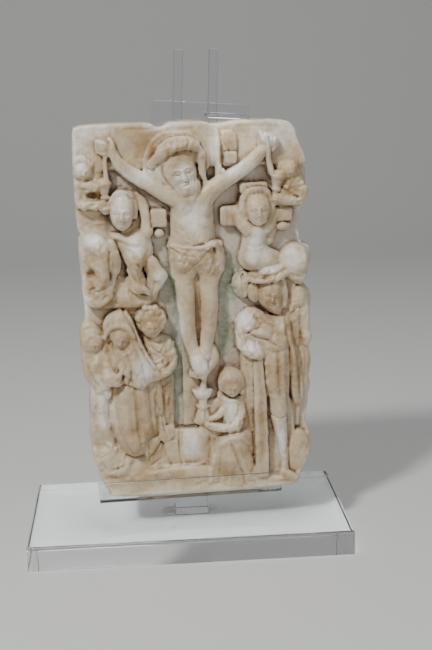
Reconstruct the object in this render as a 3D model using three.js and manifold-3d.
// A carved alabaster relief of the Crucifixion in a clear acrylic display stand.
// Millimetres, +Z up, -Y is the carved front, origin at the centre of the base's underside.
import * as THREE from 'three';
import { mergeVertices } from 'three/addons/utils/BufferGeometryUtils.js';
import Module from 'manifold-3d';

const wasm = await Module();
wasm.setup();

// ---- driving dimensions --------------------------------------------------------------
const FIT = 0.3;                  // gap kept between touching pieces

const BASE = { width: 314, depth: 171, height: 25, chamfer: 0.8 };
const POST = { width: 32.3, depth: 30, chamfer: 0.6, x: 3.8, y: -6.4 };

const HOLD = { x: 3.8, turn: 3, z: 55.6, back: 2 };   // where the panel stands, and its turn
const SHEET = 3;                                      // thickness of the bent acrylic
const CRADLE = { left: -93, right: 86, lip: 16, back: 60 };
const UPRIGHT = { side: 8.6, chamfer: 0.4, lean: 3, length: 428, foot: [-19.5, 14.2] };
const HOOK = { left: -25, right: 68, bottom: 338, top: 373, roll: 4.6 };
const TAB = { left: 24, right: 64, over: 361, drop: 17, reach: 30, bite: 1 };

const SLAB = 13;                  // stone left behind the deepest background
const BLOCK = 44;                 // full depth of the carved block
const PLANK = 24;                 // front of the cross's top plank
const SHAFT = 21;                 // front of the cross's shaft
const ROOT = 5;                   // how deep in the slab a carved form starts
const FACES = 9600;               // most faces that the carved panel is given

const PASSES = 40;                // most rounds of thinning
const SHARE = 1 / 6;              // how many of the edges one round may close
const LEAST_AREA = 1e-4;          // a face smaller than this has collapsed
const MOST_TURN = 0.3;            // cosine of the furthest that a face may turn in a round
const SHORT_FIRST = 1e-4;         // small cost for length, so that short edges go first

// ---- making solids -------------------------------------------------------------------
// Panel points are (x, z, h): right, up, and h forward of the panel's back face.
function solid(geometry) {
  const bare = geometry.index ? geometry.toNonIndexed() : geometry.clone();
  bare.deleteAttribute('normal');
  bare.deleteAttribute('uv');
  const merged = mergeVertices(bare, 1e-4);
  return new wasm.Manifold(new wasm.Mesh({
    numProp: 3,
    vertProperties: new Float32Array(merged.attributes.position.array),
    triVerts: new Uint32Array(merged.index.array),
  }));
}

function geometryOf(corners, faces) {
  const geometry = new THREE.BufferGeometry();
  const numbers = corners.flatMap((corner) => corner.toArray());
  geometry.setAttribute('position', new THREE.Float32BufferAttribute(numbers, 3));
  geometry.setIndex(faces.flat());
  return geometry;
}

function cornersOf(body) {
  const { vertProperties, triVerts } = body.getMesh();
  const triple = (list, i) => [...list.slice(3 * i, 3 * i + 3)];
  const triples = (list) => Array.from({ length: list.length / 3 }, (_, i) => triple(list, i));
  const at = triples(vertProperties).map((corner) => new THREE.Vector3(...corner));
  return { at, faces: triples(triVerts) };
}

// the same body with fewer faces: again and again, the edges whose loss moves the surface
// least are closed up, as long as no face turns over
function thinned(body, target) {
  let { at, faces } = cornersOf(body);

  const normalOf = ([a, b, c], moved = -1, place = null) => {
    const [p, q, r] = [a, b, c].map((v) => (v === moved ? place : at[v]));
    return q.clone().sub(p).cross(r.clone().sub(p));
  };
  const planes = at.map(() => []);                 // every plane that a corner has to stay near
  for (const face of faces) {
    const normal = normalOf(face);
    const area = normal.length();
    if (area < 1e-9) continue;
    normal.divideScalar(area);
    for (const v of face) planes[v].push([normal, normal.dot(at[face[0]]), area]);
  }
  const off = ([normal, reach, area], place) => area * (normal.dot(place) - reach) ** 2;
  const error = (list, place) => list.reduce((sum, plane) => sum + off(plane, place), 0);

  for (let pass = 0; pass < PASSES && faces.length > target; pass++) {
    const around = at.map(() => []);
    faces.forEach((face) => face.forEach((v) => around[v].push(face)));
    const edges = [];
    for (const [a, b, c] of faces) {
      for (const [u, v] of [[a, b], [b, c], [c, a]]) {
        if (u > v) continue;
        const both = planes[u].concat(planes[v]);
        const places = [at[u], at[v], at[u].clone().lerp(at[v], 0.5)];
        const costs = places.map((place) => error(both, place));
        const best = costs.indexOf(Math.min(...costs));
        const length = at[u].distanceToSquared(at[v]);
        edges.push([costs[best] + SHORT_FIRST * length, u, v, places[best]]);
      }
    }
    edges.sort((e, f) => e[0] - f[0]);
    const settled = new Set();
    let left = faces.length;
    for (const [, u, v, place] of edges.slice(0, Math.ceil(edges.length * SHARE))) {
      if (left <= target) break;
      const ring = (w) => new Set(around[w].flat());
      const [nearU, nearV] = [ring(u), ring(v)];
      const near = new Set([...nearU, ...nearV]);
      if ([...near].some((w) => settled.has(w))) continue;
      if ([...nearU].filter((w) => nearV.has(w)).length !== 4) continue;
      const turnsOver = (w, other) => around[w].some((face) => {
        if (face.includes(other)) return false;
        const [before, after] = [normalOf(face), normalOf(face, w, place)];
        const turned = before.dot(after) < MOST_TURN * before.length() * after.length();
        return turned || after.length() < LEAST_AREA;
      });
      if (turnsOver(u, v) || turnsOver(v, u)) continue;
      at[u] = place.clone();
      planes[u] = planes[u].concat(planes[v]);
      for (const face of around[v]) face[face.indexOf(v)] = u;
      near.forEach((w) => settled.add(w));
      left -= 2;
    }
    const kept = faces.filter(([a, b, c]) => a !== b && b !== c && c !== a);
    if (kept.length === faces.length) break;
    faces = kept;
  }
  return geometryOf(at, faces);
}

const radians = THREE.MathUtils.degToRad;

// an egg or ball, with stone left standing behind it; lean tips its top to the right, in degrees
function ball(x, z, h, rx, rz, rh, lean = 0, sides = 8) {
  const shape = new THREE.SphereGeometry(1, sides, sides > 8 ? 7 : 5);
  shape.rotateX(Math.PI / 2).scale(rx, rh, rz).rotateY(radians(lean)).translate(x, -h, z);
  const corners = shape.attributes.position;
  for (let i = 0; i < corners.count; i++) {
    if (corners.getY(i) > 1e-3 - h) corners.setY(i, -ROOT);
  }
  return solid(shape);
}

// a squared block whose front face is at h; lean tips its top to the right
function block(x, z, h, width, height, lean = 0, depth = h - ROOT) {
  const shape = new THREE.BoxGeometry(width, depth, height);
  shape.rotateY(radians(lean)).translate(x, depth / 2 - h, z);
  return solid(shape);
}

// a flat shape drawn in x and z, standing from h0 to h1
function plate(shape, h0, h1, curveSegments = 12) {
  const options = { depth: h1 - h0, bevelEnabled: false, curveSegments };
  const body = new THREE.ExtrudeGeometry(shape, options);
  body.rotateX(Math.PI / 2).translate(0, -h0, 0);
  return solid(body);
}

// rings of points skinned into a closed body, with a point at each end
function skin(rings, first, last) {
  const sides = rings[0].length;
  const corners = rings.flat().concat([first, last]);
  const index = [];
  for (let r = 0; r + 1 < rings.length; r++) {
    for (let i = 0; i < sides; i++) {
      const j = (i + 1) % sides;
      const [a, b] = [r * sides + i, r * sides + j];
      index.push(a, b, b + sides, a, b + sides, a + sides);
    }
  }
  const start = rings.length * sides;
  const end = start - sides;
  for (let i = 0; i < sides; i++) {
    const j = (i + 1) % sides;
    index.push(start, j, i, start + 1, end + i, end + j);
  }
  return solid(geometryOf(corners, index));
}

// a tapering limb, lock or fold through points [x, z, h, radius], round at both ends,
// with stone left standing behind it
function limb(points, sides = 6) {
  const at = points.map(([x, z, h]) => new THREE.Vector3(x, -h, z));
  const rings = [];
  const ends = [];
  const ring = (centre, along, radius) => {
    const across = new THREE.Vector3(0, 1, 0).cross(along).normalize();
    const up = along.clone().cross(across);
    return Array.from({ length: sides }, (_, i) => {
      const turn = (2 * Math.PI * i) / sides;
      const corner = centre.clone()
        .addScaledVector(across, radius * Math.cos(turn))
        .addScaledVector(up, radius * Math.sin(turn));
      return corner.y > centre.y + 1e-3 ? corner.setY(-ROOT) : corner;
    });
  };
  points.forEach((point, i) => {
    const before = at[Math.max(i - 1, 0)];
    const after = at[Math.min(i + 1, at.length - 1)];
    const along = after.clone().sub(before).normalize();
    const radius = point[3];
    const dome = (way) => {
      const beyond = (share) => at[i].clone().addScaledVector(along, way * share * radius);
      rings.push(ring(beyond(0.6), along, 0.8 * radius));
      ends.push(beyond(1));
    };
    if (i === 0) dome(-1);
    rings.push(ring(at[i], along, radius));
    if (i === points.length - 1) dome(1);
  });
  return skin(rings, ends[0], ends[1]);
}

// a draped or swelling form standing out of the slab, through levels [x, z, half width, front],
// with a number of upright folds cut into its front
function drape(levels, folds = 0, foldDepth = 2) {
  const steps = folds ? 2 * folds : 6;
  const rings = levels.map(([x, z, half, front]) => {
    const ring = [];
    for (let i = steps; i >= 0; i--) {
      const turn = (Math.PI * i) / steps;
      const swell = Math.pow(Math.sin(turn), 0.6);
      const valley = folds && i % 2 === 0 && i > 0 && i < steps ? foldDepth : 0;
      const out = ROOT + (front - ROOT) * swell - valley;
      ring.push(new THREE.Vector3(x - half * Math.cos(turn), -out, z));
    }
    return ring;
  });
  const middle = ([x, z, , front]) => new THREE.Vector3(x, -(ROOT + front) / 2, z);
  return skin(rings, middle(levels[0]), middle(levels[levels.length - 1]));
}

// ---- the carved figures ----------------------------------------------------------------
function cross() {
  const board = block(6, 338, PLANK, 236, 44);
  const shaft = block(11.5, 155, SHAFT, 37, 188);
  const halo = new THREE.Shape().absarc(-6, 322, 31, 0, 2 * Math.PI);
  const flatTop = block(-6, 321, 40, 80, 60);
  const scroll = [
    block(44.5, 340, 29, 11.5, 19, -28),
    block(45.5, 324, 29, 12, 11),
    block(36.5, 316, 30, 8, 26, -3),
  ];
  return [board, shaft, plate(halo, ROOT, 28).intersect(flatTop), ...scroll];
}

function christ() {
  const head = [
    ball(-3, 317, 32, 14, 19, 11, -13, 10),
    ball(3, 299, 33, 10.5, 10.5, 9, -13),
    limb([
      [-31, 321, 30, 4], [-21, 330, 35, 4.5], [-8, 340, 36, 5], [6, 341, 34, 4.5],
      [15, 335, 29, 4],
    ]),
    limb([[13, 333, 30, 5], [18, 318, 31, 4.5], [21, 303, 30, 3]]),
  ];
  const body = [
    drape([
      [8, 294, 20, 26], [8, 284, 21.5, 33], [8, 270, 21, 34.5], [8.5, 256, 20, 32],
      [9, 243, 21, 33],
    ]),
    drape([
      [9, 249, 21.5, 34], [10, 238, 24, 37.5], [12, 226, 24.5, 38], [11, 213, 20, 36.5],
      [10, 207, 14, 34],
    ], 5, 1.6),
    limb([[-13, 242, 28, 3.5], [6, 239, 35, 4], [26, 243, 35, 4.5], [36, 239, 28, 4]]),
    limb([[30, 240, 34, 3.5], [36, 224, 30, 4], [29, 206, 28, 3]]),
  ];
  const arms = [
    limb([
      [-4, 289, 24, 10], [-20, 296, 24, 9], [-34, 304, 24, 7.5], [-47, 311, 24, 6.8],
      [-60, 320, 25, 5.8], [-64, 331, 26, 5],
    ]),
    ball(-73, 338, 25, 8.5, 7.5, 6.5),
    limb([
      [20, 290, 24, 10], [35, 300, 24, 8.5], [48, 308, 24, 7.6], [61, 316, 24, 7],
      [72, 328, 25, 6.5],
    ]),
    ball(81, 338, 25, 9.5, 9.5, 7),
  ];
  const legs = [
    limb([
      [0, 216, 25, 10], [-0.5, 196, 26, 9.5], [-0.5, 180, 27.5, 8.8], [1, 160, 26, 7.8],
      [6, 141, 27, 6],
    ], 8),
    limb([
      [21, 216, 25, 10], [21, 196, 26, 9.6], [20.5, 180, 28, 9], [19.5, 160, 26, 8],
      [18, 141, 27, 6],
    ], 8),
    limb([[6, 143, 27, 6], [11, 127, 32, 7.5], [12, 117, 33, 5]]),
    limb([[20, 140, 26, 6], [22, 129, 26, 6.5], [10, 114, 27, 5]]),
  ];
  return [...head, ...body, ...arms, ...legs];
}

// a cup on a knop and a spreading foot, from its centre line, foot level, height and rim radius
function chalice(x, z, h, height, rim) {
  return [
    ball(x, z + 0.8 * height, h, rim, 0.24 * height, rim),
    ball(x, z + 0.5 * height, h, 0.55 * rim, 0.16 * height, 0.6 * rim),
    ball(x, z + 0.15 * height, h, 0.9 * rim, 0.3 * height, 0.9 * rim),
  ];
}

function cupBearers() {
  const left = [
    ball(-92, 319, 23, 10, 10, 9),
    limb([[-86, 330, 22, 3], [-80, 321, 23, 6], [-76, 314, 24, 3]]),
    limb([[-97, 306, 23, 7], [-88, 305, 25, 6], [-79, 303, 25, 4]]),
    limb([[-97, 287, 24, 5.5], [-86, 286, 27, 5], [-75, 285, 27, 4.5]]),
    ball(-87, 268, 16, 16, 13, 10),
    ...chalice(-74, 282, 25, 25, 7.5),
    limb([[-72, 332, 27, 2], [-73, 303, 27, 2]]),
  ];
  const right = [
    ball(101, 309, 23, 11, 13, 9),
    ball(113, 312, 17, 5, 16, 9),
    limb([[100, 297, 25, 7], [113, 290, 26, 7.5]]),
    limb([[92, 285, 27, 6], [103, 283, 28, 5.5], [113, 288, 25, 6]]),
    ball(112, 279, 16, 7, 8, 9),
    ...chalice(88, 282, 25, 26, 7.5),
    limb([[82, 337, 28, 2.2], [86, 306, 28, 2]]),
  ];
  return [...left, ...right];
}

function thieves() {
  const left = [
    ball(-58, 279, 31, 11.5, 18.5, 10, 4, 10),
    ball(-51, 286, 26, 7, 11, 9),
    drape([
      [-52, 262, 15, 27], [-49, 252, 19, 34], [-46, 240, 15.5, 35], [-48, 225, 10, 33],
      [-45, 212, 8, 33], [-44, 198, 6, 29],
    ]),
    ball(-44.5, 203, 29, 7.5, 6.5, 6),
    limb([[-38, 228, 26, 7], [-23, 213, 28, 6.5], [-31, 192, 25, 4.5]]),
    block(-23.5, 268, 28, 15, 19),
    limb([[-46, 291, 21, 5], [-38, 280, 25, 6], [-34, 262, 27, 6]]),
    ball(-23.5, 255, 25, 5, 4, 5),
  ];
  const right = [
    ball(70, 278, 31, 12, 18, 10, -3, 10),
    block(67, 294, 32, 23, 9),
    drape([
      [69, 264, 18, 27], [69, 250, 13.5, 33], [66.5, 238, 13, 34], [64, 226, 12.5, 34],
      [63, 217, 8, 29],
    ]),
    limb([[71, 238, 26, 9], [86, 227, 25, 8], [98, 222, 23, 7]]),
    limb([[58, 258, 27, 6], [50, 268, 25, 6]]),
    limb([[81, 258, 27, 6], [89, 270, 23, 6]]),
    block(43.5, 269, 27, 17, 20),
    block(96, 268, 27, 17, 13),
    ball(95, 257, 24, 8, 4, 5),
  ];
  return [...left, ...right];
}

function cloakedMan() {
  return [
    ball(-83, 249, 24, 19, 13, 13),
    ball(-82, 222, 14, 20, 36, 14),
    limb([[-93, 244, 27, 8], [-98, 222, 24, 5], [-93, 204, 27, 6]]),
    limb([[-77, 248, 28, 8], [-77, 228, 31, 6.5], [-78, 208, 29, 6]]),
    limb([[-68, 244, 27, 7], [-67, 228, 28, 6.5], [-67, 221, 27, 5]]),
    ball(-86, 198, 25, 11.5, 13.5, 11),
  ];
}

function virgin() {
  return [
    ball(-67, 163, 24, 20, 22, 14),
    limb([
      [-85, 160, 29, 4], [-82, 174, 31, 4], [-68, 183, 33, 4], [-55, 176, 32, 4],
      [-49, 160, 32, 4.5],
    ]),
    ball(-62, 158, 33, 9.5, 11.5, 8.5, 8, 10),
    drape([[-62, 150, 16, 34], [-59, 134, 20, 40], [-54, 121, 23, 41], [-47, 108, 17, 36]], 4, 2),
    limb([[-51, 162, 31, 4], [-41, 140, 35, 5], [-31, 122, 34, 4.5], [-21, 114, 30, 3]]),
    ball(-64, 125, 37, 8, 9, 6),
    drape([
      [-52, 114, 16, 36], [-52, 92, 18, 41], [-53, 70, 18.5, 42.5], [-53, 50, 18, 43],
      [-56, 38, 10, 39],
    ], 5, 2.5),
  ];
}

function woman() {
  return [
    ball(-92, 153, 27, 11, 11, 9.5, 0, 10),
    limb([[-101, 158, 24, 4], [-92, 167, 27, 4.5], [-81, 161, 26, 4]]),
    drape([[-90, 143, 11, 30], [-91, 126, 13, 37], [-88, 108, 10, 37], [-83, 98, 5, 33]]),
    limb([[-99, 130, 31, 4], [-91, 114, 35, 5], [-81, 101, 34, 4]]),
    limb([[-84, 110, 36, 6], [-74, 118, 38, 6], [-66, 122, 37, 4.5]]),
    drape([
      [-86, 114, 14, 28], [-86, 90, 14, 33], [-86, 68, 15, 35], [-84, 48, 15, 36],
      [-82, 36, 12, 34],
    ], 4, 2),
  ];
}

function john() {
  return [
    ball(-35, 166, 31, 11.5, 11, 10, 0, 10),
    ball(-36, 176, 28, 14, 13, 12),
    ball(-34, 152, 21, 8, 7, 8),
    drape([[-27, 149, 14, 25], [-26, 134, 15, 31], [-25, 120, 14, 31], [-24, 109, 10, 27]], 3, 2),
    limb([[-38, 144, 27, 5], [-28, 131, 31, 5], [-22, 119, 31, 4]]),
    limb([[-36, 108, 30, 5], [-33, 95, 31, 5.5], [-30, 84, 29, 5]]),
    drape([[-25, 112, 9, 24], [-24, 90, 9.5, 27], [-24, 68, 9.5, 30], [-23, 55, 7, 30]], 3, 2),
    drape([[-38, 62, 8, 34], [-38, 48, 10, 38], [-38, 32, 9, 38], [-39, 24, 6, 36]], 3, 2),
  ];
}

function rearMan() {
  return [
    ball(107, 222, 23, 14.5, 18.5, 13, 10, 10),
    ball(112, 209, 26, 8, 8, 8),
    ball(109, 187, 21, 13, 16, 13),
    drape([
      [109, 182, 13, 25], [111, 150, 12, 26], [113, 118, 10, 26], [113, 90, 8, 25],
      [112, 60, 8, 24],
    ], 3, 2),
    limb([[113, 178, 30, 3.5], [114, 160, 31, 3.5], [115, 148, 31, 5]]),
    limb([[113, 138, 30, 5], [114, 116, 30, 5], [114, 98, 29, 4]]),
  ];
}

function centurion() {
  return [
    ball(79, 212, 30, 20, 8.5, 13, 0, 10),
    ball(82, 191, 33, 11, 16, 10, 6, 10),
    ball(87, 177, 34, 7.5, 8, 7),
    ball(64, 193, 29, 6.5, 10, 8),
    ball(52, 201, 25, 7, 11.5, 8, -12),
    drape([[78, 172, 18, 34], [77, 162, 24, 39], [80, 150, 20, 40], [84, 138, 14, 38.5]], 3, 1.5),
    limb([
      [60, 166, 32, 9], [54, 153, 35, 8.5], [53, 142, 36, 7.5], [60, 134, 38, 6.5],
      [67, 131, 38, 6],
    ]),
    limb([[63, 158, 39, 3.5], [72, 153, 41, 3.5], [80, 147, 40, 3]]),
    ball(95, 160, 31, 9, 12, 10),
    drape([[84, 141, 13.5, 38], [85, 124, 13, 40], [85, 104, 14, 41], [84.5, 87, 13, 40]], 4, 1.8),
    limb([
      [87, 92, 33, 9], [88, 72, 34, 8.5], [91, 52, 33, 7], [92, 30, 33, 5.5], [92, 14, 35, 5.5],
    ]),
    limb([[92, 11, 36, 6], [101, 8, 38, 5]]),
    block(69, 68, 40, 12, 116),
    limb([[60, 126, 29, 6], [59, 100, 31, 6], [62, 76, 32, 5]]),
    limb([[97, 160, 32, 6], [100, 132, 34, 6.5], [104, 102, 34, 7], [105, 83, 33, 5.5]]),
    limb([[90, 158, 36, 4], [96, 132, 37, 4], [99, 104, 36, 4], [100, 86, 34, 3]]),
    limb([[103, 76, 25, 4.5], [102, 40, 26, 4.5]]),
  ];
}

function kneelingAngel() {
  return [
    ball(41, 107, 33, 11.5, 13, 10, 4, 10),
    ball(51, 97, 29, 3.5, 5, 5),
    ball(41, 88, 29, 9.5, 4, 9),
    drape([[41, 90, 9, 30], [41, 80, 11.5, 37], [42, 66, 11, 38], [42, 54, 12, 36]], 3, 1.5),
    limb([[49, 74, 35, 5], [42, 62, 39, 5], [27, 61, 37, 4.5], [15, 65, 33, 3.5]]),
    drape([[39, 58, 20, 36], [38, 46, 22, 40], [40, 30, 25, 42.5], [43, 8, 30, 43]], 6, 3),
    ball(25, 42, 34, 7.5, 8, 8),
    ...chalice(12, 64, 24, 40, 9.5),
    limb([[14, 113, 25, 2.5], [14, 99, 26, 2.2]]),
  ];
}

function ground() {
  const ledge = new THREE.Shape([
    [-104, -1], [122, -1], [122, 18], [64, 16], [10, 20], [-30, 21], [-60, 17], [-104, 22],
  ].map(([x, z]) => new THREE.Vector2(x, z)));
  return [
    plate(ledge, ROOT, 43.5),
    block(3.5, 42, 33, 29, 34),
    block(-20, 38, 31, 15, 28),
    ball(-79, 31, 27, 18, 16, 14),
    ball(-94, 43, 22, 5.5, 5.5, 6),
    ball(108, 34, 24, 14, 19, 14),
    ball(117, 45, 20, 4.5, 5, 6),
    block(10, 12, 38, 190, 34),
    block(-52, 196, 20, 30, 40),
    block(60, 110, 20, 30, 60),
  ];
}

// ---- the panel -------------------------------------------------------------------------
// the broken outline, clockwise from the top left corner
const OUTLINE = [
  [-101, 351], [-94, 357.5], [-35, 358.5], [-23, 354], [-16, 354.5], [-8, 358.5], [20, 358.5],
  [30, 355.5], [60, 358], [97, 357], [107, 350], [112, 336], [118, 322], [118.5, 306], [119.5, 290],
  [116, 273], [113, 270], [113, 242], [121, 236], [123.5, 226], [120, 211], [113, 201], [119, 195],
  [123.5, 184], [120.5, 166], [122.5, 148], [120.5, 134], [122.5, 120], [119.5, 106], [121.5, 98],
  [119, 80], [116.5, 58], [120.5, 44], [117.5, 27], [110, 10], [98, 0], [-78, 0], [-88, 6],
  [-95.5, 32], [-98.5, 44], [-99, 72], [-96.5, 108], [-102.5, 121], [-103.5, 164], [-98, 174],
  [-99, 200], [-101, 246], [-98, 256], [-101.5, 266], [-102.5, 320],
];

function reliefPanel() {
  const outline = new THREE.Shape(OUTLINE.map(([x, z]) => new THREE.Vector2(x, z)));
  const figures = [
    cross, christ, cupBearers, thieves, cloakedMan, virgin, woman, john, rearMan, centurion,
    kneelingAngel, ground,
  ];
  const carved = figures.flatMap((figure) => figure()).reduce((whole, form) => whole.add(form));
  const stone = plate(outline, 0, BLOCK);
  return plate(outline, 0, SLAB).add(carved.intersect(stone));
}

// the widest of a body's separate skins, so that no air is sealed in behind a form
function outerSkin(body) {
  return body.decompose().reduce((most, part) => (part.volume() > most.volume() ? part : most));
}

// ---- the stand ---------------------------------------------------------------------------
function bar(width, depth, height, chamfer) {
  const half = [width / 2 - chamfer, depth / 2 - chamfer];
  const foot = new THREE.Shape([[-1, -1], [1, -1], [1, 1], [-1, 1]]
    .map(([a, b]) => new THREE.Vector2(a * half[0], b * half[1])));
  const options = {
    depth: height - 2 * chamfer, bevelThickness: chamfer, bevelSize: chamfer, bevelSegments: 1,
  };
  return new THREE.ExtrudeGeometry(foot, options).translate(0, 0, chamfer);
}

// a strip of acrylic sheet bent along a line in y and z, running across x
function bentSheet(profile, left, right) {
  const shape = new THREE.Shape(profile.map(([y, z]) => new THREE.Vector2(y, z)));
  const strip = new THREE.ExtrudeGeometry(shape, { depth: right - left, bevelEnabled: false });
  return strip.applyMatrix4(new THREE.Matrix4().makeBasis(
    new THREE.Vector3(0, 1, 0), new THREE.Vector3(0, 0, 1), new THREE.Vector3(1, 0, 0),
  )).translate(left, 0, 0);
}

const acrylic = new THREE.MeshStandardMaterial({
  color: '#dfe8ee', roughness: 0.05, transparent: true, opacity: 0.35,
});
const alabaster = new THREE.MeshStandardMaterial({
  color: '#cdbda4', roughness: 0.55, metalness: 0,
});

function piece(name, geometry, material, x = 0, y = 0, z = 0) {
  const mesh = new THREE.Mesh(geometry, material);
  mesh.name = name;
  mesh.position.set(x, y, z);
  return mesh;
}

const object = new THREE.Group();
object.add(piece('stand_base', bar(BASE.width, BASE.depth, BASE.height, BASE.chamfer), acrylic));
const postHeight = HOLD.z - SHEET - BASE.height - 3 * FIT;
const post = bar(POST.width, POST.depth, postHeight, POST.chamfer);
object.add(piece('support_block', post, acrylic, POST.x, POST.y, BASE.height + FIT));

const held = new THREE.Group();
held.position.set(HOLD.x, 0, HOLD.z);
held.rotation.z = radians(HOLD.turn);
object.add(held);
const panel = thinned(outerSkin(reliefPanel()), FACES);
held.add(piece('relief_panel', panel, alabaster, 0, HOLD.back, 0));

const backFace = HOLD.back + FIT;                   // front of what stands behind the panel
const floorTop = -FIT;
const lipInside = HOLD.back - BLOCK - FIT;
const cradle = bentSheet([
  [lipInside - SHEET, floorTop - SHEET], [backFace + SHEET, floorTop - SHEET],
  [backFace + SHEET, CRADLE.back], [backFace, CRADLE.back], [backFace, floorTop],
  [lipInside, floorTop], [lipInside, CRADLE.lip], [lipInside - SHEET, CRADLE.lip],
], CRADLE.left, CRADLE.right);
held.add(piece('cradle', cradle, acrylic));

const uprightY = backFace + SHEET + FIT + UPRIGHT.side / 2;
UPRIGHT.foot.forEach((x, i) => {
  const stick = bar(UPRIGHT.side, UPRIGHT.side, UPRIGHT.length, UPRIGHT.chamfer);
  const name = `upright_${['left', 'right'][i]}`;
  const upright = piece(name, stick, acrylic, x, uprightY, floorTop - SHEET);
  upright.rotation.y = radians(UPRIGHT.lean);
  held.add(upright);
});

// the plate behind the panel's top edge, with a tab that reaches over the edge and down in front
const tabBack = HOLD.back - TAB.reach - FIT;
const tabFoot = TAB.over - TAB.drop;
const plateProfile = [
  [backFace, HOOK.bottom], [backFace + SHEET, HOOK.bottom],
  [backFace + SHEET, HOOK.top], [backFace, HOOK.top],
];
const tabProfile = [
  [backFace + TAB.bite, TAB.over], [backFace + TAB.bite, TAB.over + SHEET],
  [tabBack - SHEET, TAB.over + SHEET], [tabBack - SHEET, tabFoot],
  [tabBack, tabFoot], [tabBack, TAB.over],
];
const tabMiddle = (TAB.left + TAB.right) / 2;
const hook = solid(bentSheet(plateProfile, HOOK.left, HOOK.right))
  .add(solid(bentSheet(tabProfile, TAB.left, TAB.right)));
const { at: hookCorners, faces: hookFaces } = cornersOf(hook);
const hookShape = geometryOf(hookCorners, hookFaces).translate(-tabMiddle, 0, -TAB.over);
const bracket = piece('top_bracket', hookShape, acrylic, tabMiddle, 0, TAB.over);
bracket.rotation.y = radians(HOOK.roll);
held.add(bracket);

export default object;
